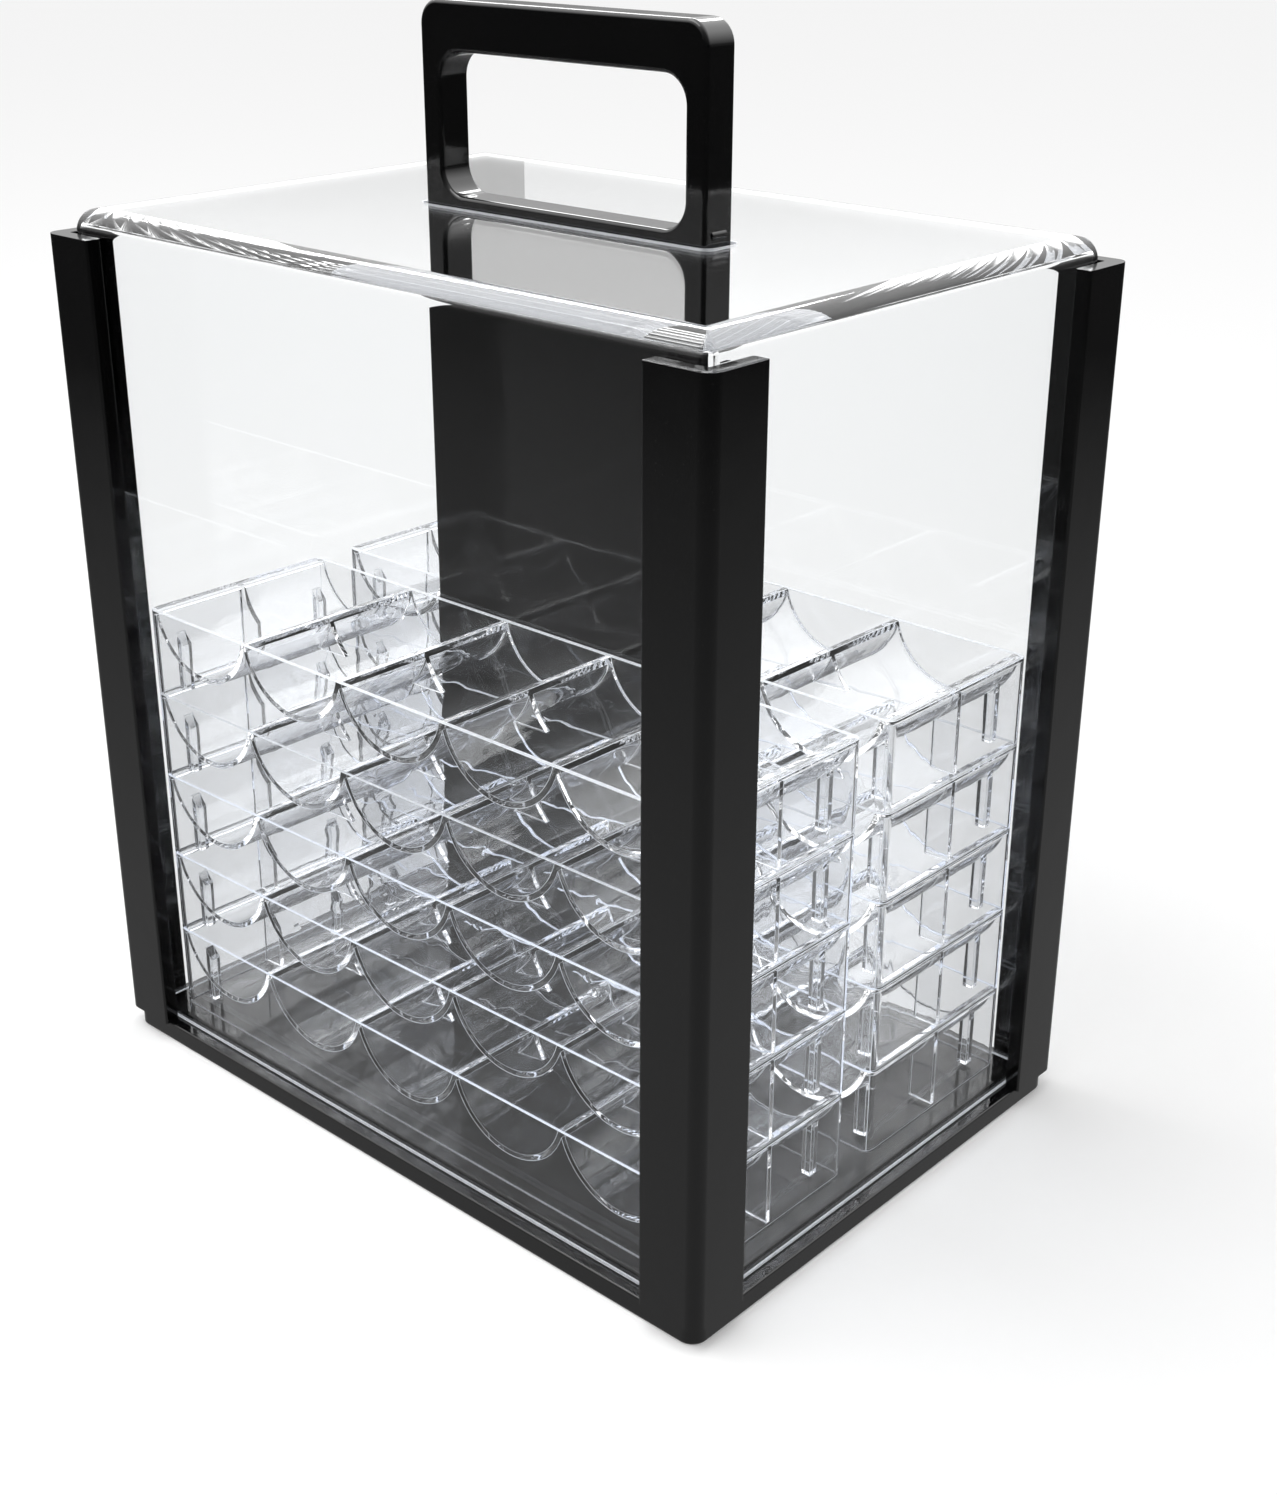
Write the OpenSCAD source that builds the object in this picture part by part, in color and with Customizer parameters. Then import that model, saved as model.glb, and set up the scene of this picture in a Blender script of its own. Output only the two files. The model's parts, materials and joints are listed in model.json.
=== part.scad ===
// Clear acrylic carrier for poker chips.
// A black base holds four black corner posts and one upright black board. The board's top
// passes through a slot in the clear lift-off cover and is the carrying handle. Two stacks
// of clear chip trays stand on the base, one on each side of the board.
// Origin: centre of the base's underside. X runs along the wide face, Y along the narrow
// face, Z is up.

/* [Case] */
// Width over the corner posts
case_w = 254; // [248:1:300]
// Depth over the corner posts
case_d = 178; // [176:1:220]
// Height to the top of the handle
case_h = 330; // [322:1:380]
// Height to the top of the cover
cover_top = 273; // [262:1:275]

/* [Base] */
// Thickness of the base at its ledge
base_h = 6.5; // [5.5:0.5:10]
// Rise of the raised floor above the ledge
floor_rise = 2; // [1:0.5:4]
// Radius of the base's upright corners
base_corner_r = 5; // [3:0.5:8]
// How far a post stands out past the side of the base
post_overhang = 1.6; // [0.5:0.1:2]

/* [Corner posts] */
// Width of each leg of the L section
post_leg = 20.5; // [16:0.5:24]
// Thickness of each leg
post_t = 5; // [4:0.5:6]
// Radius of the outer upright corner
post_corner_r = 4; // [2:0.5:4]
// How far the posts end below the top of the cover
post_drop = 7; // [4:1:12]
// Chamfer round the outer top edges
post_chamfer = 1.6; // [0.5:0.1:2]

/* [Cover] */
// Wall thickness
cover_t = 2.4; // [2:0.1:3]
// Thickness of the top
cover_top_t = 4.8; // [2:0.1:6]
// Gap between a post and the cover
cover_gap = 0.4; // [0.3:0.1:0.8]
// Radius of the upright corners
cover_corner_r = 4; // [3:0.5:6]
// Radius of the rounded top rim
cover_rim_r = 7; // [5:0.5:9]
// Radius inside the rim, between the walls and the top
cover_inner_r = 1; // [0.5:0.1:2]

/* [Handle board] */
// Width of the board
board_w = 108; // [96:1:120]
// Thickness of the board
board_t = 11.5; // [10:0.5:13]
// Radius of the board's two top corners
board_top_r = 7; // [3:0.5:10]
// Radius of the board's upright edges
board_edge_r = 1.5; // [1:0.1:2.5]
// Width of the hand hole
hand_w = 93; // [70:1:100]
// Height of the hand hole
hand_h = 40; // [34:1:42]
// Board left above the hand hole
hand_top = 14; // [10:1:16]
// Radius of the hand hole's corners
hand_r = 8; // [4:0.5:12]

/* [Chip trays] */
// Trays in each stack
tray_levels = 5; // [1:1:6]
// Height of one tray
tray_h = 28.3; // [27:0.1:30]
// Room for a row of twenty chips
chip_row = 66; // [62:0.5:66.5]
// Radius of a chip channel
channel_r = 21.3; // [20.5:0.1:21.5]
// Distance between neighbouring channels
channel_pitch = 43.5; // [42.5:0.1:44]
// Height of a channel's axis above the tray's rim
channel_rise = 4.8; // [3:0.1:7]
// Thickness of the front and back walls
tray_wall = 1.5; // [1.2:0.1:2]
// Thickness of the channel shells and end walls
tray_shell = 1.6; // [1.2:0.1:2]

/* [Hidden] */
$fn = 64;
CHANNELS = 5;
CHANNEL_SPAN = [-(CHANNELS - 1) / 2 : (CHANNELS - 1) / 2];
SIDES = [-1, 1];
EPS = 1;                                    // how far a cutter runs past a face
BLACK = [0.07, 0.07, 0.075];
CLEAR = [0.86, 0.92, 0.96, 0.35];
STEEL = [0.72, 0.73, 0.75];

base_w = case_w - 2 * post_overhang;
base_d = case_d - 2 * post_overhang;
floor_z = base_h + floor_rise;

cover_w = case_w - 2 * (post_t + cover_gap);
cover_d = case_d - 2 * (post_t + cover_gap);
floor_gap = 1.3;                            // raised floor to the cover's inner face
floor_w = cover_w - 2 * (cover_t + floor_gap);
floor_d = cover_d - 2 * (cover_t + floor_gap);
floor_corner_r = 2;

post_top = cover_top - post_drop;
slot_side_gap = 1;                          // cover slot to the board's faces
slot_end_gap = 2;                           // cover slot to the board's narrow ends
slot_r = 3;

board_seat = 4;                             // height of the slot floor in the base
board_seat_gap = 0.1;
hand_z = case_h - hand_top - hand_h / 2;
nib_r = 1.4;                                // small half-round nib on each narrow end
nib_out = 0.5;
nib_z = cover_top + 2.5;

screw_x = [-36, 0, 36];
screw_r = 2;
screw_len = 20;
screw_head_r = 4;
screw_head_h = 2.2;
screw_recess = 0.4;                         // head below the base's underside
screw_gap = 0.05;

end_land = 4.25;                            // flat rim at each end of a tray
channel_half = sqrt(channel_r * channel_r - channel_rise * channel_rise);
tray_l = (CHANNELS - 1) * channel_pitch + 2 * (channel_half + end_land);
tray_d = chip_row + 2 * tray_wall;
tray_corner_r = 3;
tray_gap = 0.55;                            // board face to a tray
tray_y = board_t / 2 + tray_gap + tray_d / 2;
gusset_t = 1.5;
gusset_w = 13;
gusset_h = 11;
leg_w = 3.2;                                // small stacking legs under the end channels
leg_inset = 4.5;
leg_foot = 1.2;                             // legs and plates end this far above the bottom
end_plate_t = 1.5;
end_plate_w = 9;

STACKS = [["front", -1], ["rear", 1]];
POSTS = [
    ["front_left", -1, -1], ["front_right", 1, -1],
    ["rear_left", -1, 1], ["rear_right", 1, 1]
];

// ---------- shared shapes ----------

// A centred rectangle with four round corners
module round_rect(w, d, r) {
    square([w - 2 * r, d], center = true);
    square([w, d - 2 * r], center = true);
    for (x = SIDES, y = SIDES) translate([x * (w / 2 - r), y * (d / 2 - r)]) circle(r);
}

// A plate with round upright corners, its underside at z = 0
module slab(w, d, r, h) {
    linear_extrude(h) round_rect(w, d, r);
}

// An upright outline with two round top corners, its foot at y = 0
module arch_outline(w, h, r) {
    translate([-w / 2, 0]) square([w, h - r]);
    translate([-w / 2 + r, 0]) square([w - 2 * r, h]);
    for (x = SIDES) translate([x * (w / 2 - r), h - r]) circle(r);
}

// Turns a 2D outline upright and extrudes it by depth, centred on the XZ plane
module upright(depth) {
    rotate([90, 0, 0]) linear_extrude(depth, center = true) children();
}

// A block whose upright corners and top rim are both rounded, its foot at z = 0
module domed_block(w, d, h, corner_r, rim_r) {
    intersection() {
        slab(w, d, corner_r, h);
        upright(d + EPS) arch_outline(w, h, rim_r);
        rotate([0, 0, 90]) upright(w + EPS) arch_outline(d, h, rim_r);
    }
}

// ---------- base and corner posts ----------

module screw_holes() {
    for (x = screw_x) translate([x, 0, 0]) {
        translate([0, 0, -EPS]) cylinder(board_seat + 2 * EPS, r = screw_r + screw_gap);
        translate([0, 0, screw_recess])
            cylinder(screw_head_h, r1 = screw_head_r + screw_gap, r2 = screw_r + screw_gap);
        translate([0, 0, -EPS]) cylinder(screw_recess + EPS, r = screw_head_r + screw_gap);
    }
}

module base() {
    color(BLACK) difference() {
        union() {
            slab(base_w, base_d, base_corner_r, base_h);
            translate([0, 0, base_h]) slab(floor_w, floor_d, floor_corner_r, floor_rise);
        }
        translate([0, 0, board_seat])
            slab(board_w + 2 * board_seat_gap, board_t + 2 * board_seat_gap, board_edge_r, floor_z);
        screw_holes();
    }
}

// L section with its outer corner at the origin and its legs along -X and -Y
module post_section() {
    difference() {
        union() {
            translate([-post_leg, -post_leg]) square([post_leg, post_leg - post_corner_r]);
            translate([-post_leg, -post_leg]) square([post_leg - post_corner_r, post_leg]);
            translate([-post_corner_r, -post_corner_r]) circle(post_corner_r);
        }
        translate([-post_leg - EPS, -post_leg - EPS]) square(post_leg - post_t + EPS);
    }
}

// A 45 degree cutter for one outer top edge, running along Y at x = 0
module chamfer_cutter() {
    side = post_chamfer * sqrt(2);
    translate([0, 0, post_top - base_h]) rotate([0, 45, 0])
        cube([side, 4 * post_leg, side], center = true);
}

module corner_post(side_x, side_y) {
    color(BLACK)
    mirror([side_x < 0 ? 1 : 0, 0, 0]) mirror([0, side_y < 0 ? 1 : 0, 0])
    translate([case_w / 2, case_d / 2, base_h])
    difference() {
        linear_extrude(post_top - base_h) post_section();
        chamfer_cutter();
        rotate([0, 0, 90]) chamfer_cutter();
    }
}

// ---------- handle board and its screws ----------

module hand_hole() {
    translate([0, 0, hand_z]) upright(board_t + EPS) round_rect(hand_w, hand_h, hand_r);
}

module handle_board() {
    board_h = case_h - board_seat;
    color(BLACK) difference() {
        union() {
            translate([0, 0, board_seat]) intersection() {
                slab(board_w, board_t, board_edge_r, board_h);
                upright(board_t + EPS) arch_outline(board_w, board_h, board_top_r);
            }
            for (x = SIDES) translate([x * (board_w / 2 + nib_out - nib_r), 0, nib_z])
                rotate([90, 0, 0]) cylinder(board_t / 2, r = nib_r, center = true);
        }
        hand_hole();
        for (x = screw_x) translate([x, 0, board_seat - EPS])
            cylinder(screw_len - board_seat + 2 * EPS, r = screw_r + screw_gap);
    }
}

// Countersunk screws that hold the board from below
module board_screws() {
    color(STEEL) for (x = screw_x) translate([x, 0, screw_recess]) {
        cylinder(screw_head_h, r1 = screw_head_r, r2 = screw_r);
        cylinder(screw_len, r = screw_r);
    }
}

// ---------- cover ----------

module cover() {
    cover_h = cover_top - base_h;
    color(CLEAR) translate([0, 0, base_h]) difference() {
        domed_block(cover_w, cover_d, cover_h, cover_corner_r, cover_rim_r);
        translate([0, 0, -EPS]) domed_block(
            cover_w - 2 * cover_t, cover_d - 2 * cover_t, cover_h - cover_top_t + EPS,
            cover_corner_r - cover_t, cover_inner_r
        );
        translate([0, 0, cover_h - 2 * cover_top_t]) slab(
            board_w + 2 * slot_end_gap, board_t + 2 * slot_side_gap, slot_r, 3 * cover_top_t
        );
    }
}

// ---------- chip trays ----------

// The five channels as solid bars of radius r and the given length
module channel_bars(r, length) {
    for (i = CHANNEL_SPAN) translate([i * channel_pitch, 0, tray_h + channel_rise])
        rotate([90, 0, 0]) cylinder(length, r = r, center = true);
}

// Triangular plates that stand under the ridges, half way along the channels
module gussets() {
    ridge_z = tray_h - tray_shell;
    for (i = [0 : CHANNELS - 2]) translate([(i - (CHANNELS - 2) / 2) * channel_pitch, 0, ridge_z])
        upright(gusset_t)
            polygon([[0, 0], [gusset_w / 2, -gusset_h], [-gusset_w / 2, -gusset_h]]);
}

// Small square legs near the corners and a plate half way along each end
module end_supports() {
    leg_x = tray_l / 2 - tray_shell - leg_inset - leg_w / 2;
    leg_y = tray_d / 2 - tray_wall - leg_inset - leg_w / 2;
    for (x = SIDES) {
        for (y = SIDES) translate([x * leg_x - leg_w / 2, y * leg_y - leg_w / 2, leg_foot])
            cube([leg_w, leg_w, tray_h]);
        translate([x * (tray_l / 2 - end_plate_w / 2 - tray_shell / 2), 0, leg_foot + tray_h / 2])
            cube([end_plate_w, end_plate_t, tray_h], center = true);
    }
}

// The space under the channel shells, open at the bottom
module tray_underside() {
    difference() {
        translate([0, 0, -EPS]) slab(
            tray_l - 2 * tray_shell, tray_d - 2 * tray_wall,
            tray_corner_r - tray_wall, tray_h - tray_shell + EPS
        );
        channel_bars(channel_r + tray_shell, tray_d);
        gussets();
        end_supports();
    }
}

module chip_tray(side_y, level) {
    color(CLEAR) translate([0, side_y * tray_y, floor_z + (level - 1) * tray_h])
    difference() {
        slab(tray_l, tray_d, tray_corner_r, tray_h);
        channel_bars(channel_r, chip_row);
        tray_underside();
    }
}

// ---------- nodes ----------

base();
for (post = POSTS)
    corner_post(post[1], post[2]);
handle_board();
board_screws();
cover();
for (stack = STACKS, level = [1 : tray_levels])
    chip_tray(stack[1], level);
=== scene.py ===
"""Clear acrylic poker chip carrier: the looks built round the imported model."""

import json
import math

import bmesh
import bpy
from mathutils import Matrix, Vector


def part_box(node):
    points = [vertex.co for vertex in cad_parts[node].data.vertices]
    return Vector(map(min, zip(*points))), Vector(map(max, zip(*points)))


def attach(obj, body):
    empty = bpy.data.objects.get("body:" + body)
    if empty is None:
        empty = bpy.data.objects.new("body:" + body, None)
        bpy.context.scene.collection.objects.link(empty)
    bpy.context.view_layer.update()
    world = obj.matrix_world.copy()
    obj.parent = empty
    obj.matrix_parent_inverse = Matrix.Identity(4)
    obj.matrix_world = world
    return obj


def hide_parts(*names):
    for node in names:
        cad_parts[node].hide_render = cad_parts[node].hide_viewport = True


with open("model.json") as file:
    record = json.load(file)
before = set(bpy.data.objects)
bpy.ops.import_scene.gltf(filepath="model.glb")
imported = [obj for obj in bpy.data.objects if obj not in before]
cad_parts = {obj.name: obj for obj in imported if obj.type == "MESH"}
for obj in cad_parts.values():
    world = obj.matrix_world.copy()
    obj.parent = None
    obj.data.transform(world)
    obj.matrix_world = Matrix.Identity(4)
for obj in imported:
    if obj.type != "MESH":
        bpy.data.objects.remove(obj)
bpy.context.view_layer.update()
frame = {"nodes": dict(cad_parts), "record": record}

MM = 0.001
ACRYLIC_IOR = 1.49
FLOOR_REACH = 6                 # half the side of the floor, in metres
BOARD_WIDTH = 108 * MM          # without the nibs on its narrow ends
NODE_BODY = {
    node: body
    for body, nodes in frame["record"]["behaviour"]["bodies"].items()
    for node in nodes
}
TRAY_NODES = sorted(n for n in frame["nodes"] if n.startswith("tray_"))
POST_NODES = sorted(n for n in frame["nodes"] if n.startswith("corner_post_"))


def add_object(name, data):
    """A new object in the scene."""
    made = bpy.data.objects.new(name, data)
    bpy.context.scene.collection.objects.link(made)
    return made


# ---------- materials ----------

def new_material(name):
    """A material with only an output and a Principled shader."""
    material = bpy.data.materials.new(name)
    material.use_nodes = True
    tree = material.node_tree
    tree.nodes.clear()
    output = tree.nodes.new("ShaderNodeOutputMaterial")
    shader = tree.nodes.new("ShaderNodeBsdfPrincipled")
    tree.links.new(shader.outputs["BSDF"], output.inputs["Surface"])
    return material, tree, shader


def object_coords(tree):
    return tree.nodes.new("ShaderNodeTexCoord").outputs["Object"]


def noise(tree, coords, scale, detail=3.0, stretch=None):
    """Noise in object space. scale is in features per metre."""
    if stretch:
        mapping = tree.nodes.new("ShaderNodeMapping")
        mapping.inputs["Scale"].default_value = stretch
        tree.links.new(coords, mapping.inputs["Vector"])
        coords = mapping.outputs["Vector"]
    node = tree.nodes.new("ShaderNodeTexNoise")
    node.inputs["Scale"].default_value = scale
    node.inputs["Detail"].default_value = detail
    tree.links.new(coords, node.inputs["Vector"])
    return node.outputs["Fac"]


def remap(tree, value, low, high, to_low, to_high):
    """Maps low..high of value to to_low..to_high, clamped."""
    node = tree.nodes.new("ShaderNodeMapRange")
    for socket, number in zip(("From Min", "From Max", "To Min", "To Max"),
                              (low, high, to_low, to_high)):
        node.inputs[socket].default_value = number
    tree.links.new(value, node.inputs["Value"])
    return node.outputs["Result"]


def bump(tree, height, distance, strength, normal=None):
    node = tree.nodes.new("ShaderNodeBump")
    node.inputs["Distance"].default_value = distance
    node.inputs["Strength"].default_value = strength
    tree.links.new(height, node.inputs["Height"])
    if normal:
        tree.links.new(normal, node.inputs["Normal"])
    return node.outputs["Normal"]


def mix_colors(tree, factor, first, second):
    node = tree.nodes.new("ShaderNodeMix")
    node.data_type = "RGBA"
    node.inputs["A"].default_value = (*first, 1)
    node.inputs["B"].default_value = (*second, 1)
    tree.links.new(factor, node.inputs["Factor"])
    return node.outputs["Result"]


def black_acrylic():
    """Polished black acrylic: a faint orange peel, hairline scratches and a little dust."""
    material, tree, shader = new_material("black_acrylic")
    coords = object_coords(tree)
    dust = remap(tree, noise(tree, coords, 2600, 2), 0.70, 0.78, 0, 1)
    color = mix_colors(tree, dust, (0.0012, 0.0012, 0.0013), (0.025, 0.025, 0.024))
    tree.links.new(color, shader.inputs["Base Color"])
    smear = noise(tree, coords, 38, 4)
    tree.links.new(remap(tree, smear, 0.35, 0.75, 0.035, 0.13), shader.inputs["Roughness"])
    peel = bump(tree, noise(tree, coords, 60, 1), 0.0004, 0.25)
    scratches = noise(tree, coords, 900, 2, stretch=(1, 1, 0.03))
    scratches = remap(tree, scratches, 0.66, 0.72, 0, 1)
    normal = bump(tree, scratches, 0.00002, 0.3, peel)
    tree.links.new(normal, shader.inputs["Normal"])
    shader.inputs["IOR"].default_value = ACRYLIC_IOR
    return material


def clear_acrylic(name, tint, wave_scale, wave_height, haze, stretch=None):
    """Clear acrylic whose surfaces are slightly wavy, with a little haze."""
    material, tree, shader = new_material(name)
    coords = object_coords(tree)
    shader.inputs["Base Color"].default_value = (*tint, 1)
    shader.inputs["Transmission Weight"].default_value = 1
    shader.inputs["IOR"].default_value = ACRYLIC_IOR
    smear = noise(tree, coords, 45, 4)
    tree.links.new(remap(tree, smear, 0.45, 0.8, 0.0, haze), shader.inputs["Roughness"])
    waves = noise(tree, coords, wave_scale, 1, stretch)
    tree.links.new(bump(tree, waves, wave_height, 1.0), shader.inputs["Normal"])
    return material


def frosted_edge_painted_glow(name, clearness):
    """The cut and moulded edges of the clear parts. They are frosted, so they scatter light and
    read white, and they carry a painted glow from a small emission.
    """
    material, tree, shader = new_material(name)
    coords = object_coords(tree)
    grain = noise(tree, coords, 700, 4)
    color = mix_colors(tree, grain, (0.86, 0.89, 0.96), (0.95, 0.97, 1.0))
    tree.links.new(color, shader.inputs["Base Color"])
    tree.links.new(remap(tree, grain, 0.3, 0.7, 0.12, 0.35), shader.inputs["Roughness"])
    tree.links.new(bump(tree, grain, 0.00004, 0.5), shader.inputs["Normal"])
    shader.inputs["Transmission Weight"].default_value = clearness
    shader.inputs["IOR"].default_value = ACRYLIC_IOR
    # Painted glow: a small white emission stands in for light that travels inside the sheet and
    # leaves it at its edges
    shader.inputs["Emission Color"].default_value = (0.93, 0.96, 1, 1)
    shader.inputs["Emission Strength"].default_value = 0.22
    return material


def screw_steel():
    """Zinc plated steel with fine turning marks."""
    material, tree, shader = new_material("screw_steel")
    coords = object_coords(tree)
    plate = noise(tree, coords, 900, 4)
    color = mix_colors(tree, plate, (0.52, 0.53, 0.56), (0.68, 0.68, 0.70))
    tree.links.new(color, shader.inputs["Base Color"])
    tree.links.new(remap(tree, plate, 0.3, 0.7, 0.22, 0.4), shader.inputs["Roughness"])
    shader.inputs["Metallic"].default_value = 1
    rings = tree.nodes.new("ShaderNodeTexWave")
    rings.wave_type = "RINGS"
    rings.inputs["Scale"].default_value = 700
    tree.links.new(coords, rings.inputs["Vector"])
    tree.links.new(bump(tree, rings.outputs["Fac"], 0.00002, 0.4), shader.inputs["Normal"])
    return material


BLACK = black_acrylic()
CLEAR_COVER = clear_acrylic("clear_cover", (0.985, 0.992, 0.995), 6, 0.00012, 0.012)
CLEAR_TRAY = clear_acrylic("clear_tray", (0.984, 0.988, 0.997), 90, 0.00016,
                           0.02, (0.35, 1, 0.35))
COVER_EDGE_PAINTED_GLOW = frosted_edge_painted_glow("clear_cover_edge_painted_glow", 0.15)
TRAY_EDGE_PAINTED_GLOW = frosted_edge_painted_glow("clear_tray_edge_painted_glow", 0.12)
STEEL = screw_steel()


# ---------- outlines and loops ----------
# An outline is a list of (point, outward normal) pairs in 2D, anticlockwise.

def arc(centre, radius, start, end, steps):
    """Points and normals on an arc; start and end are in degrees."""
    found = []
    for i in range(steps + 1):
        a = math.radians(start + (end - start) * i / steps)
        normal = Vector((math.cos(a), math.sin(a)))
        found.append((Vector(centre) + normal * radius, normal))
    return found


def side(start, end, normal, steps):
    """The inner points of a straight side, without its two ends."""
    a, b, normal = Vector(start), Vector(end), Vector(normal)
    return [(a.lerp(b, i / steps), normal) for i in range(1, steps)]


def rect_outline(width, depth, radius, corner_steps=8, side_steps=(2, 2)):
    """A centred rounded rectangle that starts in the middle of its right side.
    side_steps are the steps along the X sides and the Y sides, both even."""
    w, d, r = width / 2, depth / 2, radius
    x_steps, y_steps = side_steps
    right = [(Vector((w, 0)), Vector((1, 0)))]
    found = right + side((w, 0), (w, d - r), (1, 0), y_steps // 2)
    found += arc((w - r, d - r), r, 0, 90, corner_steps)
    found += side((w - r, d), (r - w, d), (0, 1), x_steps)
    found += arc((r - w, d - r), r, 90, 180, corner_steps)
    found += side((-w, d - r), (-w, r - d), (-1, 0), y_steps)
    found += arc((r - w, r - d), r, 180, 270, corner_steps)
    found += side((r - w, -d), (w - r, -d), (0, -1), x_steps)
    found += arc((w - r, r - d), r, 270, 360, corner_steps)
    return found + side((w, r - d), (w, 0), (1, 0), y_steps // 2)


def circle_outline(centre, radius, steps=32):
    return arc(centre, radius, 0, 360 * (steps - 1) / steps, steps - 1)


def inset(outline, distance):
    """The outline moved inwards along its normals."""
    return [(p - n * distance, n) for p, n in outline]


def loop_at(bm, outline, place):
    """A closed loop of vertices; place turns a 2D point into a 3D one."""
    return [bm.verts.new(place(p)) for p, _ in outline]


def bridge(bm, lower, upper):
    """Quads between two closed loops with the same number of vertices."""
    count = len(lower)
    for i in range(count):
        j = (i + 1) % count
        bm.faces.new((lower[i], lower[j], upper[j], upper[i]))


def stack(bm, loops):
    for lower, upper in zip(loops, loops[1:]):
        bridge(bm, lower, upper)


def halves(loop, split):
    """The anticlockwise upper and lower half of a loop that starts at its right end."""
    return loop[: split + 1], loop[split:] + loop[:1]


def cap_with_holes(bm, outer, outer_split, holes):
    """A flat face round a row of holes, as two polygons that meet along the row.
    holes are (loop, split) pairs from right to left."""
    upper, lower = halves(outer, outer_split)
    for loop, split in reversed(holes):
        hole_upper, _ = halves(loop, split)
        upper = upper + hole_upper[::-1]
    for loop, split in holes:
        _, hole_lower = halves(loop, split)
        lower = lower + hole_lower[::-1]
    bm.faces.new(upper)
    bm.faces.new(lower)


def rounding(radius, steps=4):
    """(inset, drop) pairs over a quarter round, from the side face to the end face."""
    angles = [math.pi / 2 * i / steps for i in range(steps + 1)]
    return [(radius * (1 - math.cos(a)), radius * (1 - math.sin(a))) for a in angles]


def flat(height):
    return lambda p: (p.x, p.y, height)


# ---------- pieces ----------

def settle_normals(mesh, sharp):
    """Shading normals that keep large faces flat and round only the faces between them."""
    around = [[] for _ in mesh.vertices]
    for face in mesh.polygons:
        for v in face.vertices:
            around[v].append(face.index)
    normals = [face.normal.copy() for face in mesh.polygons]
    areas = [face.area for face in mesh.polygons]
    least, curved = math.cos(math.radians(sharp)), math.cos(math.radians(10))
    uneven = 8                      # faces further apart in area than this aren't one curve
    corner_normals = []
    for face in mesh.polygons:
        own, own_area = normals[face.index], areas[face.index]
        for v in face.vertices:
            total = Vector()
            for i in around[v]:
                along, ratio = normals[i].dot(own), areas[i] / own_area
                if along < least:
                    continue
                even = along > curved and 1 / uneven < ratio < uneven
                total += normals[i] * (1 if even else ratio ** 2)
            corner_normals.append(total.normalized())
    mesh.normals_split_custom_set(corner_normals)


def finish_piece(bm, name, node, *materials, sharp=50):
    """Turns the mesh into a piece that stands for its CAD node."""
    bmesh.ops.remove_doubles(bm, verts=bm.verts, dist=1e-7)
    bmesh.ops.recalc_face_normals(bm, faces=bm.faces)
    mesh = bpy.data.meshes.new(name)
    bm.to_mesh(mesh)
    bm.free()
    mesh.shade_smooth()
    settle_normals(mesh, sharp)
    for material in materials:
        mesh.materials.append(material)
    return place_piece(mesh, name, node)


def place_piece(mesh, name, node):
    """A piece with that mesh, which replaces the CAD node and rides on its body."""
    piece = add_object(name, mesh)
    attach(piece, NODE_BODY[node])
    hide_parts(node)
    return piece


def sharp_edges(bm, angle):
    """The edges that bend by more than angle, in degrees."""
    return [
        e for e in bm.edges
        if len(e.link_faces) == 2 and e.calc_face_angle(0) > math.radians(angle)
    ]


def round_edges(bm, edges, radius, steps):
    """Rounds the edges and gives back the new faces."""
    made = bmesh.ops.bevel(bm, geom=edges, offset=radius, segments=steps, profile=0.5,
                           affect="EDGES", clamp_overlap=True)
    return made["faces"]


def make_base():
    """The base plate with its ledge, raised floor, board slot and screw holes."""
    low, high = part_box("base")
    board_low, board_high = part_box("handle_board")
    screws_low, screws_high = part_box("board_screws")
    cover_low, cover_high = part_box("cover")
    ledge = cover_low.z
    corner_r, floor_r = 5 * MM, 2 * MM
    edge_r, floor_edge_r = 0.7 * MM, 0.4 * MM
    floor_inset = 3.7 * MM                          # cover's outer face to the raised floor
    board_gap, slot_r = 0.1 * MM, 1.5 * MM
    head_gap, head_h, hole_r = 0.05 * MM, 2.2 * MM, 2.05 * MM
    bm = bmesh.new()
    plate = rect_outline(high.x - low.x, high.y - low.y, corner_r, 10)
    raised = rect_outline(cover_high.x - cover_low.x - 2 * floor_inset,
                          cover_high.y - cover_low.y - 2 * floor_inset, floor_r, 10)
    loops = [loop_at(bm, inset(plate, s), flat(low.z + d)) for s, d in rounding(edge_r)[::-1]]
    loops += [loop_at(bm, inset(plate, s), flat(ledge - d)) for s, d in rounding(edge_r)]
    loops.append(loop_at(bm, raised, flat(ledge)))
    loops += [loop_at(bm, inset(raised, s), flat(high.z - d)) for s, d in rounding(floor_edge_r)]
    stack(bm, loops)
    # The slot that the board stands in
    slot = rect_outline(BOARD_WIDTH + 2 * board_gap,
                        board_high.y - board_low.y + 2 * board_gap, slot_r, 6)
    slot_top = loop_at(bm, slot, flat(high.z))
    slot_bottom = loop_at(bm, slot, flat(board_low.z))
    cap_with_holes(bm, loops[-1], len(plate) // 2, [(slot_top, len(slot) // 2)])
    bridge(bm, slot_bottom, slot_top)
    # Three countersunk holes that run from the underside up to the slot
    screw_head_r = (screws_high.y - screws_low.y) / 2
    head_r = screw_head_r + head_gap
    first = screws_high.x - screw_head_r
    tops, bottoms = [], []
    for x in (first, 0, -first):
        hole = [(low.z, head_r), (screws_low.z, head_r),
                (screws_low.z + head_h, hole_r), (board_low.z, hole_r)]
        rings = [loop_at(bm, circle_outline((x, 0), r), flat(z)) for z, r in hole]
        stack(bm, rings)
        half_turn = len(rings[0]) // 2
        bottoms.append((rings[0], half_turn))
        tops.append((rings[-1], half_turn))
    cap_with_holes(bm, loops[0], len(plate) // 2, bottoms)
    cap_with_holes(bm, slot_bottom, len(slot) // 2, tops)
    return finish_piece(bm, "base_plate", "base", BLACK)


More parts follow.
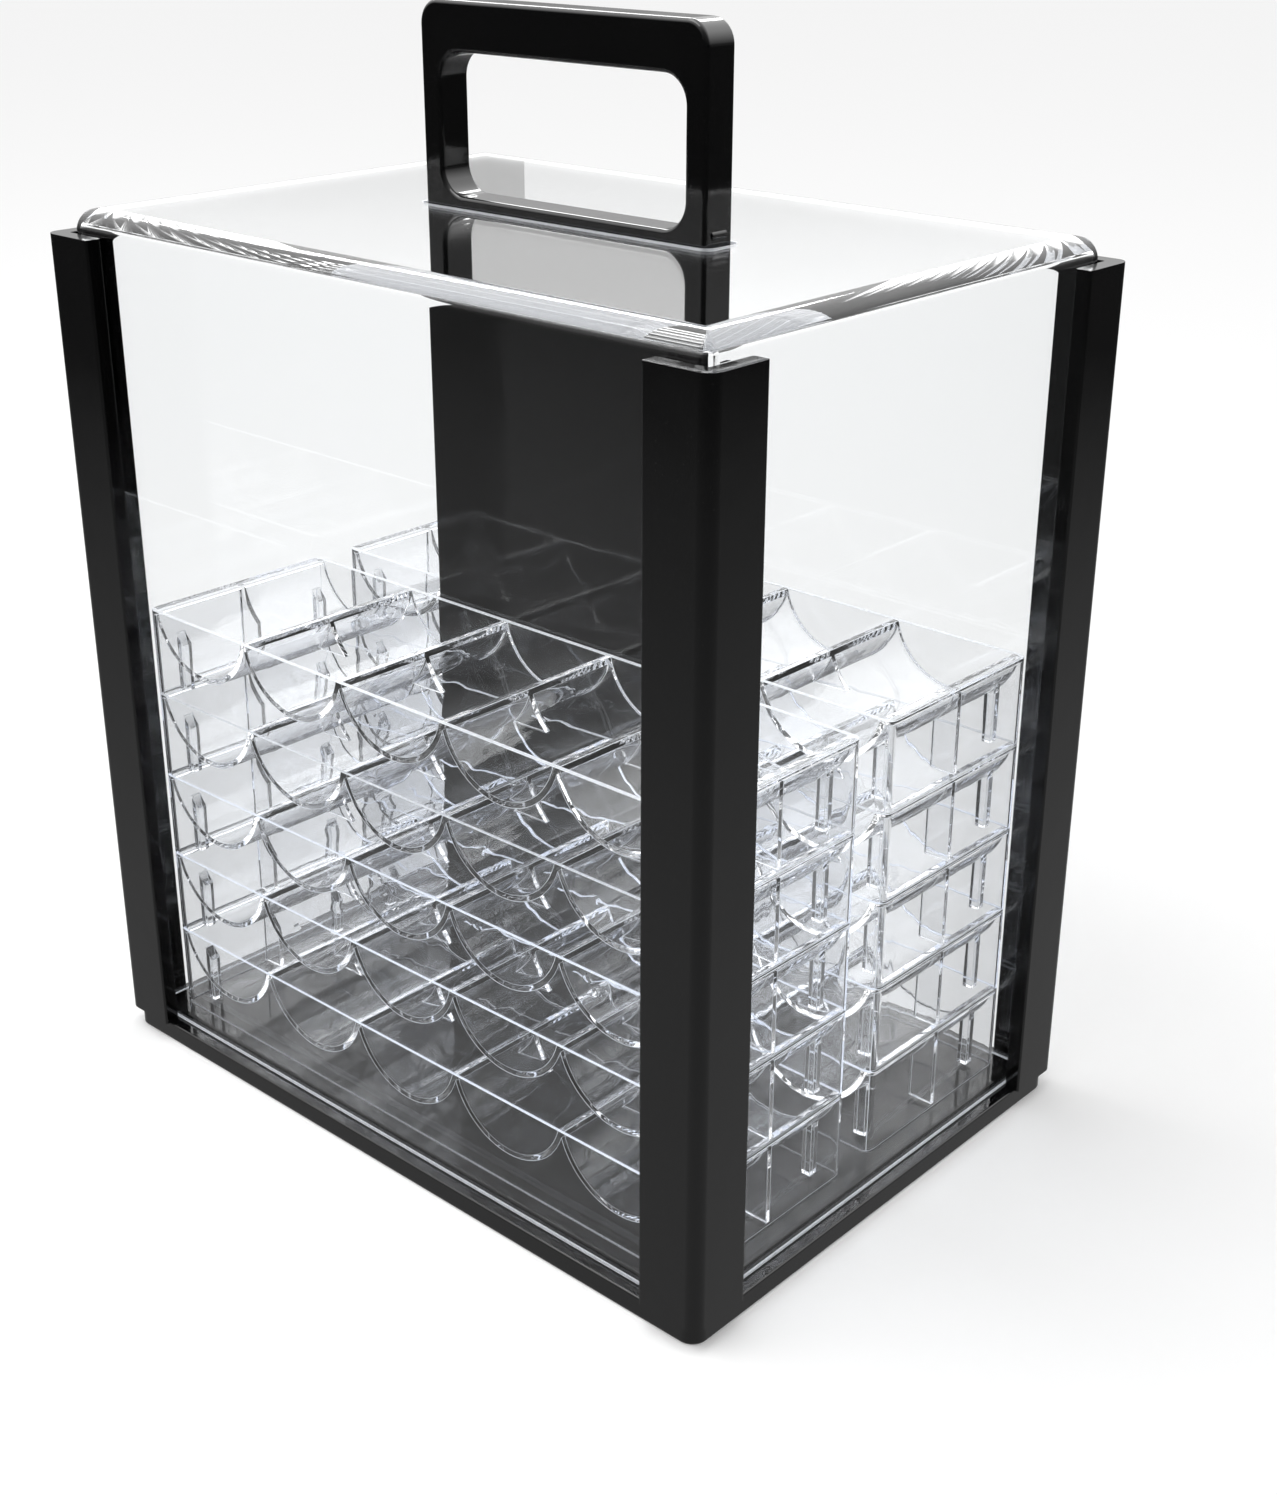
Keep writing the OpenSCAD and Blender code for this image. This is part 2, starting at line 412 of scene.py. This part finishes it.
def make_post(node):
    """An L section post whose top is rounded over on its outer faces."""
    low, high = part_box(node)
    centre = (low + high) / 2
    leg, thick = high.x - low.x, 5 * MM
    outer_r, inner_r, tip_r = 4 * MM, 0.8 * MM, 0.7 * MM
    top_r, edge_r = 2 * MM, 0.45 * MM
    # Outer corner at the origin, legs along -X and -Y
    outline = arc((-outer_r, -outer_r), outer_r, 0, 90, 10)
    outline += arc((tip_r - leg, -tip_r), tip_r, 90, 180, 4)
    outline += arc((tip_r - leg, tip_r - thick), tip_r, 180, 270, 4)
    fillet = arc((-thick - inner_r, -thick - inner_r), inner_r, 0, 90, 5)
    outline += fillet[::-1]
    outline += arc((tip_r - thick, tip_r - leg), tip_r, 180, 270, 4)
    outline += arc((-tip_r, tip_r - leg), tip_r, 270, 360, 4)
    bm = bmesh.new()
    bottom = loop_at(bm, outline, flat(low.z))
    top = loop_at(bm, outline, flat(high.z))
    bridge(bm, bottom, top)
    bm.faces.new(bottom[::-1])
    bm.faces.new(top)
    corner = Vector((-outer_r, -outer_r))
    reach = 0.01 * MM

    def outside(v):
        """True on the two outer faces and the round corner between them."""
        if v.co.x > corner.x and v.co.y > corner.y:
            return True
        return v.co.x > -reach or v.co.y > -reach

    rim = [
        e for e in bm.edges
        if all(v.co.z > high.z - reach and outside(v) for v in e.verts)
    ]
    round_edges(bm, rim, top_r, 6)
    round_edges(bm, sharp_edges(bm, 50), edge_r, 3)
    turn = Matrix.Diagonal((1 if centre.x > 0 else -1, 1 if centre.y > 0 else -1, 1, 1))
    place = Vector((high.x if centre.x > 0 else low.x, high.y if centre.y > 0 else low.y, 0))
    bmesh.ops.transform(bm, matrix=Matrix.Translation(place) @ turn, verts=bm.verts)
    return finish_piece(bm, node.replace("corner_post", "post"), node, BLACK)


def make_board():
    """The upright board: softly rounded edges and a rounded hand hole."""
    low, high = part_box("handle_board")
    top_r, edge_r = 7 * MM, 1.3 * MM
    hole_w, hole_h, hole_r = 93 * MM, 40 * MM, 8 * MM
    bar_h = 14 * MM                                 # board above the hand hole
    hand_z = high.z - bar_h - hole_h / 2
    half, w = (high.y - low.y) / 2, BOARD_WIDTH / 2
    foot = low.z
    outer = [(Vector((w, hand_z)), Vector((1, 0)))]
    outer += side((w, hand_z), (w, high.z - top_r), (1, 0), 4)
    outer += arc((w - top_r, high.z - top_r), top_r, 0, 90, 14)
    outer += arc((top_r - w, high.z - top_r), top_r, 90, 180, 14)
    outer += side((-w, high.z - top_r), (-w, hand_z), (-1, 0), 4)
    split = len(outer)
    outer += [(Vector((-w, hand_z)), Vector((-1, 0)))]
    outer += side((-w, hand_z), (-w, foot), (-1, 0), 12)
    outer += arc((edge_r - w, foot + edge_r), edge_r, 180, 270, 4)
    outer += arc((w - edge_r, foot + edge_r), edge_r, 270, 360, 4)
    outer += side((w, foot), (w, hand_z), (1, 0), 12)
    hole = rect_outline(hole_w, hole_h, hole_r, 14, (10, 6))
    hole = [(p + Vector((0, hand_z)), n) for p, n in hole]
    bm = bmesh.new()

    def upright(y):
        return lambda p: (p.x, y, p.y)

    outer_loops, hole_loops = [], []
    for s, d in rounding(edge_r, 5)[::-1]:
        outer_loops.append(loop_at(bm, inset(outer, s), upright(d - half)))
        hole_loops.append(loop_at(bm, inset(hole, -s), upright(d - half)))
    for s, d in rounding(edge_r, 5):
        outer_loops.append(loop_at(bm, inset(outer, s), upright(half - d)))
        hole_loops.append(loop_at(bm, inset(hole, -s), upright(half - d)))
    stack(bm, outer_loops)
    stack(bm, hole_loops)
    for end in (0, -1):
        cap_with_holes(bm, outer_loops[end], split, [(hole_loops[end], len(hole) // 2)])
    # A small half-round nib on each narrow end, just above the cover
    nib_r, nib_out, nib_z = 1.4 * MM, 0.5 * MM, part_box("cover")[1].z + 2.5 * MM
    for x_side in (-1, 1):
        nib = circle_outline((x_side * (w + nib_out - nib_r), nib_z), nib_r, 24)
        front, rear = (loop_at(bm, nib, upright(y)) for y in (-half / 2, half / 2))
        bridge(bm, front, rear)
        bm.faces.new(front)
        bm.faces.new(rear)
    return finish_piece(bm, "centre_board", "handle_board", BLACK)


def make_cover():
    """The clear cover: four walls and a top in one skin, with a rounded rim and a slot."""
    low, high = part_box("cover")
    board_low, board_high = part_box("handle_board")
    width, depth = high.x - low.x, high.y - low.y
    wall, top_t = 2.4 * MM, 4.8 * MM
    corner_r, least_r = 4 * MM, 0.3 * MM
    rim_r, inner_r = 7 * MM, 1 * MM
    foot_r, edge_r = 0.7 * MM, 0.35 * MM
    end_gap, side_gap, slot_r = 2 * MM, 1 * MM, 3 * MM
    slot_w = BOARD_WIDTH + 2 * end_gap
    slot_d = board_high.y - board_low.y + 2 * side_gap
    rim_steps = 14
    steps = {"corner_steps": 10, "side_steps": (60, 40)}
    bm = bmesh.new()

    def ring(step_in, z):
        outline = rect_outline(width - 2 * step_in, depth - 2 * step_in,
                               max(corner_r - step_in, least_r), **steps)
        return loop_at(bm, outline, flat(z))

    def slot_ring(grow, z):
        outline = rect_outline(slot_w + 2 * grow, slot_d + 2 * grow, slot_r + grow, **steps)
        return loop_at(bm, outline, flat(z))

    inner_top = high.z - top_t
    loops = [ring(s, low.z + d) for s, d in rounding(foot_r, 3)[::-1]]
    loops += [ring(0, low.z + (high.z - rim_r - low.z) * f) for f in (0.25, 0.5, 0.75)]
    for i in range(rim_steps + 1):
        a = math.pi / 2 * i / rim_steps
        loops.append(ring(rim_r * (1 - math.cos(a)), high.z - rim_r * (1 - math.sin(a))))
    loops += [slot_ring(s, high.z - d) for s, d in rounding(edge_r, 3)[::-1]]
    loops += [slot_ring(s, inner_top + d) for s, d in rounding(edge_r, 3)]
    for i in range(rim_steps, -1, -1):
        a = math.pi / 2 * i / rim_steps
        loops.append(ring(wall + inner_r * (1 - math.cos(a)),
                          inner_top - inner_r * (1 - math.sin(a))))
    loops += [ring(wall, low.z + (high.z - rim_r - low.z) * f) for f in (0.75, 0.5, 0.25)]
    loops += [ring(wall - s, low.z + d) for s, d in rounding(foot_r, 3)]
    stack(bm, loops + loops[:1])
    # The slot and foot faces take the second material: the frosted edge with its painted glow
    for face in bm.faces:
        middle = face.calc_center_median()
        in_slot = abs(middle.x) < slot_w / 2 + edge_r and abs(middle.y) < slot_d / 2 + edge_r
        if in_slot or middle.z < low.z + foot_r:
            face.material_index = 1
    return finish_piece(bm, "clear_cover", "cover", CLEAR_COVER, COVER_EDGE_PAINTED_GLOW)


# ---------- chip trays ----------

class TrayShape:
    """A tray as two surfaces over its plan: the top with five channels, and the underside."""

    def __init__(self, node):
        low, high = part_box(node)
        self.origin = Vector(((low.x + high.x) / 2, (low.y + high.y) / 2, low.z))
        self.length, self.depth = high.x - low.x, high.y - low.y
        self.height = high.z - low.z
        self.corner_r, self.wall, self.shell = 3 * MM, 1.5 * MM, 1.6 * MM
        self.channel_r, self.rise, self.pitch = 21.3 * MM, 4.8 * MM, 43.5 * MM
        self.gusset = (13 * MM, 11 * MM, 1.5 * MM)      # width, height, thickness
        self.leg, self.leg_inset, self.foot = 3.2 * MM, 4.5 * MM, 1.2 * MM
        self.end_plate = (9 * MM, 1.5 * MM)             # width, thickness
        self.half_channel = math.sqrt(self.channel_r ** 2 - self.rise ** 2)

    def channel_centre(self, x):
        """The axis of the channel nearest to x."""
        return self.pitch * max(-2, min(2, round(x / self.pitch)))

    def channel_surface(self, x, radius):
        """Height of the bottom of a channel of that radius, or None past its edge."""
        away = x - self.channel_centre(x)
        if abs(away) >= radius:
            return None
        return self.height + self.rise - math.sqrt(radius ** 2 - away ** 2)

    def top(self, x, inside_x, inside_y):
        """Height of the top at x. inside_x and inside_y lie in the same cell of the plan."""
        walls = abs(inside_y) > self.depth / 2 - self.wall
        away = inside_x - self.channel_centre(inside_x)
        if walls or abs(away) > self.half_channel:
            return self.height
        return min(self.height, self.channel_surface(x, self.channel_r))

    def under(self, x, inside_x, inside_y):
        """Height of the underside at x, 0 under the outer walls."""
        if abs(inside_y) > self.depth / 2 - self.wall:
            return 0.0
        if abs(inside_x) > self.length / 2 - self.shell:
            return 0.0
        roof = self.height - self.shell
        found = self.channel_surface(x, self.channel_r + self.shell)
        found = roof if found is None else min(roof, found)
        width, drop, thick = self.gusset
        if abs(inside_y) < thick / 2:
            ridge = (math.floor(inside_x / self.pitch) + 0.5) * self.pitch
            away = abs(inside_x - ridge)
            if abs(ridge) < 2 * self.pitch and away < width / 2:
                found = min(found, roof - drop)
        if self.on_leg(inside_x, inside_y) or self.on_end_plate(inside_x, inside_y):
            found = self.foot
        return found

    def on_leg(self, x, y):
        mid_x = self.length / 2 - self.shell - self.leg_inset - self.leg / 2
        mid_y = self.depth / 2 - self.wall - self.leg_inset - self.leg / 2
        return abs(abs(x) - mid_x) < self.leg / 2 and abs(abs(y) - mid_y) < self.leg / 2

    def on_end_plate(self, x, y):
        width, thick = self.end_plate
        return abs(y) < thick / 2 and abs(x) > self.length / 2 - self.shell / 2 - width

    def x_lines(self):
        """Every X where the top or the underside changes."""
        lines = {0.0, self.length / 2, self.length / 2 - self.corner_r,
                 self.length / 2 - self.shell}
        steps = 22
        edge = math.asin(self.half_channel / self.channel_r)
        for i in range(-2, 3):
            for k in range(steps + 1):
                a = -1 + 2 * k / steps
                lines.add(i * self.pitch + self.channel_r * math.sin(a * edge))
        for i in (-1.5, -0.5, 0.5, 1.5):
            lines |= {i * self.pitch, i * self.pitch - self.gusset[0] / 2,
                      i * self.pitch + self.gusset[0] / 2}
        mid = self.length / 2 - self.shell - self.leg_inset - self.leg / 2
        lines |= {mid - self.leg / 2, mid + self.leg / 2}
        lines.add(self.length / 2 - self.shell / 2 - self.end_plate[0])
        lines |= {-x for x in lines}
        return tidy_lines(lines)

    def y_lines(self):
        """Every Y where the top or the underside changes."""
        mid = self.depth / 2 - self.wall - self.leg_inset - self.leg / 2
        lines = {self.depth / 2, self.depth / 2 - self.wall, self.depth / 2 - self.corner_r,
                 mid - self.leg / 2, mid + self.leg / 2, self.gusset[2] / 2}
        lines |= {-y for y in lines}
        return tidy_lines(lines)

    def plan_point(self, x, y):
        """Pulls the four corners of the plan in to their radius."""
        near_x = abs(x) - (self.length / 2 - self.corner_r)
        near_y = abs(y) - (self.depth / 2 - self.corner_r)
        if near_x <= 0 or near_y <= 0:
            return x, y
        scale = max(near_x, near_y) / math.hypot(near_x, near_y)
        return (math.copysign(abs(x) - near_x + near_x * scale, x),
                math.copysign(abs(y) - near_y + near_y * scale, y))


def tidy_lines(lines, least=0.05 * MM):
    """Sorted lines, without those that lie closer than least to the one before."""
    kept = []
    for line in sorted(lines):
        if not kept or line - kept[-1] > least:
            kept.append(line)
    return kept


def skin(bm, shape, xs, ys, height_at, vertex):
    """One surface over the plan: a face for each cell, and upright faces at each step."""
    columns = {}

    def corner(i, j, ci, cj):
        mid_x, mid_y = (xs[ci] + xs[ci + 1]) / 2, (ys[cj] + ys[cj + 1]) / 2
        return round(height_at(xs[i], mid_x, mid_y), 7)

    cells = [(i, j) for i in range(len(xs) - 1) for j in range(len(ys) - 1)]
    heights = {}
    for i, j in cells:
        for a, b in ((i, j), (i + 1, j), (i + 1, j + 1), (i, j + 1)):
            z = corner(a, b, i, j)
            heights[i, j, a, b] = z
            columns.setdefault((a, b), set()).add(z)
    for i, j in cells:
        ring = [(a, b, heights[i, j, a, b])
                for a, b in ((i, j), (i + 1, j), (i + 1, j + 1), (i, j + 1))]
        bm.faces.new([vertex(*c) for c in ring])

    def levels(column, start, end):
        """The heights met going from start to end in a column."""
        low, high = min(start, end), max(start, end)
        met = sorted(z for z in columns[column] if low <= z <= high)
        return met if start <= end else met[::-1]

    def step(first, second, p, q):
        """The upright face between two neighbouring cells that share the edge p q."""
        a, b = heights[(*first, *p)], heights[(*second, *p)]
        c, d = heights[(*first, *q)], heights[(*second, *q)]
        if a == b and c == d:
            return
        ring = [(*p, z) for z in levels(p, a, b)] + [(*q, z) for z in levels(q, d, c)]
        corners = [vertex(*c) for c in ring]
        if len(set(corners)) > 2:
            bm.faces.new(corners)

    for i, j in cells:
        if i + 2 < len(xs):
            step((i, j), (i + 1, j), (i + 1, j), (i + 1, j + 1))
        if j + 2 < len(ys):
            step((i, j), (i, j + 1), (i, j + 1), (i + 1, j + 1))
    return heights


def tray_mesh(shape):
    """The closed, softly rounded mesh of one tray, at its place."""
    bm = bmesh.new()
    xs, ys = shape.x_lines(), shape.y_lines()
    made = {}

    def vertex(i, j, z):
        key = (i, j, z)
        if key not in made:
            x, y = shape.plan_point(xs[i], ys[j])
            made[key] = bm.verts.new(shape.origin + Vector((x, y, z)))
        return made[key]

    top = skin(bm, shape, xs, ys, shape.top, vertex)
    under = skin(bm, shape, xs, ys, shape.under, vertex)
    last_x, last_y = len(xs) - 1, len(ys) - 1
    edges = []
    for i in range(last_x):
        edges.append(((i, 0), (i, 0), (i + 1, 0)))
        edges.append(((i, last_y - 1), (i, last_y), (i + 1, last_y)))
    for j in range(last_y):
        edges.append(((0, j), (0, j), (0, j + 1)))
        edges.append(((last_x - 1, j), (last_x, j), (last_x, j + 1)))
    for cell, p, q in edges:
        bm.faces.new([vertex(*p, under[(*cell, *p)]), vertex(*q, under[(*cell, *q)]),
                      vertex(*q, top[(*cell, *q)]), vertex(*p, top[(*cell, *p)])])
    bmesh.ops.recalc_face_normals(bm, faces=bm.faces)
    edge_r, edge_zone = 0.28 * MM, 0.3 * MM
    # The rounded edges and the tops and bottoms of the long walls take the second material: the
    # frosted edge with its painted glow
    for face in round_edges(bm, sharp_edges(bm, 30), edge_r, 2):
        face.material_index = 1
    for face in bm.faces:
        place = face.calc_center_median() - shape.origin
        on_wall = abs(place.y) > shape.depth / 2 - shape.wall
        if on_wall and not edge_zone < place.z < shape.height - edge_zone:
            face.material_index = 1
    return bm


def make_trays():
    """Ten trays of one shape, each at its own node."""
    first = TRAY_NODES[0]
    shape = TrayShape(first)
    pattern = finish_piece(tray_mesh(shape), first.replace("tray", "chip_tray"), first,
                           CLEAR_TRAY, TRAY_EDGE_PAINTED_GLOW)
    for node in TRAY_NODES[1:]:
        mesh = pattern.data.copy()
        mesh.transform(Matrix.Translation(TrayShape(node).origin - shape.origin))
        place_piece(mesh, node.replace("tray", "chip_tray"), node)


make_base()
for post_node in POST_NODES:
    make_post(post_node)
make_board()
make_cover()
make_trays()
screws = frame["nodes"]["board_screws"]
screws.data.materials.clear()
screws.data.materials.append(STEEL)


# ---------- stage ----------

def make_plane(name):
    """A large flat square in the plane of the floor."""
    bm = bmesh.new()
    bmesh.ops.create_grid(bm, x_segments=8, y_segments=8, size=FLOOR_REACH)
    mesh = bpy.data.meshes.new(name)
    bm.to_mesh(mesh)
    bm.free()
    return add_object(name, mesh)


def make_floor():
    """A plain pale floor. Glossy surfaces reflect the studio in place of it."""
    floor = make_plane("floor")
    material, _, shader = new_material("floor_paper")
    shader.inputs["Base Color"].default_value = (0.93, 0.93, 0.93, 1)
    shader.inputs["Roughness"].default_value = 0.9
    shader.inputs["Specular IOR Level"].default_value = 0.0
    floor.data.materials.append(material)
    floor.visible_glossy = False
    floor.visible_transmission = False


def make_sheet():
    """What glossy surfaces see in place of the floor: a pale sheet that ends in a dark room."""
    sheet = make_plane("reflected_sheet")
    sheet.location.z = -2 * MM
    sheet.visible_camera = False
    sheet.visible_diffuse = False
    sheet.visible_transmission = False
    sheet.visible_shadow = False
    material = bpy.data.materials.new("sheet_glow")
    material.use_nodes = True
    tree = material.node_tree
    tree.nodes.clear()
    output = tree.nodes.new("ShaderNodeOutputMaterial")
    glow = tree.nodes.new("ShaderNodeEmission")
    length = tree.nodes.new("ShaderNodeVectorMath")
    length.operation = "LENGTH"
    tree.links.new(object_coords(tree), length.inputs[0])
    strength = remap(tree, length.outputs["Value"], 0.25, 1.2, 0.42, 0.06)
    tree.links.new(strength, glow.inputs["Strength"])
    tree.links.new(glow.outputs["Emission"], output.inputs["Surface"])
    sheet.data.materials.append(material)


def make_world():
    """A white studio. Reflections see it dim at eye level and in front of the case, and
    brighter overhead and behind it."""
    world = bpy.data.worlds.new("studio")
    bpy.context.scene.world = world
    world.use_nodes = True
    tree = world.node_tree
    tree.nodes.clear()
    output = tree.nodes.new("ShaderNodeOutputWorld")
    seen = tree.nodes.new("ShaderNodeBackground")
    seen.inputs["Color"].default_value = (1, 1, 1, 1)
    seen.inputs["Strength"].default_value = 1.12
    reflected = tree.nodes.new("ShaderNodeBackground")
    coords = tree.nodes.new("ShaderNodeTexCoord")
    split = tree.nodes.new("ShaderNodeSeparateXYZ")
    tree.links.new(coords.outputs["Generated"], split.inputs["Vector"])
    horizon = remap(tree, split.outputs["Z"], 0.04, 0.13, 0.22, 1.0)
    overhead = remap(tree, split.outputs["Z"], 0.15, 0.55, 0.0, 2.6)
    # The bright wall stands behind the case; the room in front of it is dim
    behind = tree.nodes.new("ShaderNodeVectorMath")
    behind.operation = "DOT_PRODUCT"
    behind.inputs[1].default_value = (-0.67, 0.74, 0.0)
    tree.links.new(coords.outputs["Generated"], behind.inputs[0])
    room = remap(tree, behind.outputs["Value"], -0.75, 0.0, 0.12, 1.0)
    both = tree.nodes.new("ShaderNodeMath")
    tree.links.new(horizon, both.inputs[0])
    tree.links.new(overhead, both.inputs[1])
    glow = tree.nodes.new("ShaderNodeMath")
    glow.operation = "MULTIPLY"
    tree.links.new(both.outputs["Value"], glow.inputs[0])
    tree.links.new(room, glow.inputs[1])
    tree.links.new(glow.outputs["Value"], reflected.inputs["Strength"])
    diffuse = tree.nodes.new("ShaderNodeBackground")
    diffuse.inputs["Strength"].default_value = 1.2
    path = tree.nodes.new("ShaderNodeLightPath")
    mixed = tree.nodes.new("ShaderNodeMixShader")
    tree.links.new(remap(tree, path.outputs["Glossy Depth"], 0, 1, 0, 1), mixed.inputs["Fac"])
    tree.links.new(seen.outputs["Background"], mixed.inputs[1])
    tree.links.new(reflected.outputs["Background"], mixed.inputs[2])
    final = tree.nodes.new("ShaderNodeMixShader")
    tree.links.new(path.outputs["Is Diffuse Ray"], final.inputs["Fac"])
    tree.links.new(mixed.outputs["Shader"], final.inputs[1])
    tree.links.new(diffuse.outputs["Background"], final.inputs[2])
    tree.links.new(final.outputs["Shader"], output.inputs["Surface"])


def make_light(name, place, aim, size, power):
    data = bpy.data.lights.new(name, "AREA")
    data.shape = "RECTANGLE"
    data.size, data.size_y = size
    data.energy = power
    light = add_object(name, data)
    light.location = place
    aim_along = Vector(aim) - Vector(place)
    light.rotation_mode = "QUATERNION"
    light.rotation_quaternion = aim_along.to_track_quat("-Z", "Y")
    light.visible_camera = False
    light.visible_transmission = False
    return light


def make_highlight(name, place, aim, size, power):
    """A strip light that only shows as highlights on glossy edges."""
    light = make_light(name, place, aim, size, power)
    light.visible_diffuse = False


def make_camera():
    """The viewing angle: from the front right, a little above the handle."""
    place = Vector((0.40905, -0.42481, 0.37289))
    yaw, pitch, roll = (math.radians(a) for a in (41.88, 23.71, 0.23))
    back = Vector((math.sin(yaw) * math.cos(pitch), -math.cos(yaw) * math.cos(pitch),
                   math.sin(pitch)))
    right = (-back).cross(Vector((0, 0, 1))).normalized()
    up = right.cross(-back)
    turned_right = right * math.cos(roll) + up * math.sin(roll)
    turned_up = up * math.cos(roll) - right * math.sin(roll)
    data = bpy.data.cameras.new("camera")
    data.sensor_width = 36
    data.lens = 49.64
    data.shift_x, data.shift_y = -0.0038, -0.0060
    data.clip_start = 0.01
    camera = add_object("camera", data)
    camera.matrix_world = Matrix((
        (turned_right.x, turned_up.x, back.x, place.x),
        (turned_right.y, turned_up.y, back.y, place.y),
        (turned_right.z, turned_up.z, back.z, place.z),
        (0, 0, 0, 1),
    ))
    bpy.context.scene.camera = camera


make_floor()
make_sheet()
make_world()
make_light("overhead_softbox", (-0.35, -0.55, 1.5), (0, 0, 0.25), (1.1, 0.7), 9)
make_highlight("rear_strip", (-0.89, 0.74, 1.18), (0, 0, 0.27), (1.4, 0.2), 14)
make_camera()

scene = bpy.context.scene
scene.view_settings.view_transform = "Standard"
scene.cycles.max_bounces = 40
scene.cycles.transmission_bounces = 36
scene.cycles.glossy_bounces = 24
scene.cycles.transparent_max_bounces = 24
scene.cycles.blur_glossy = 0.2
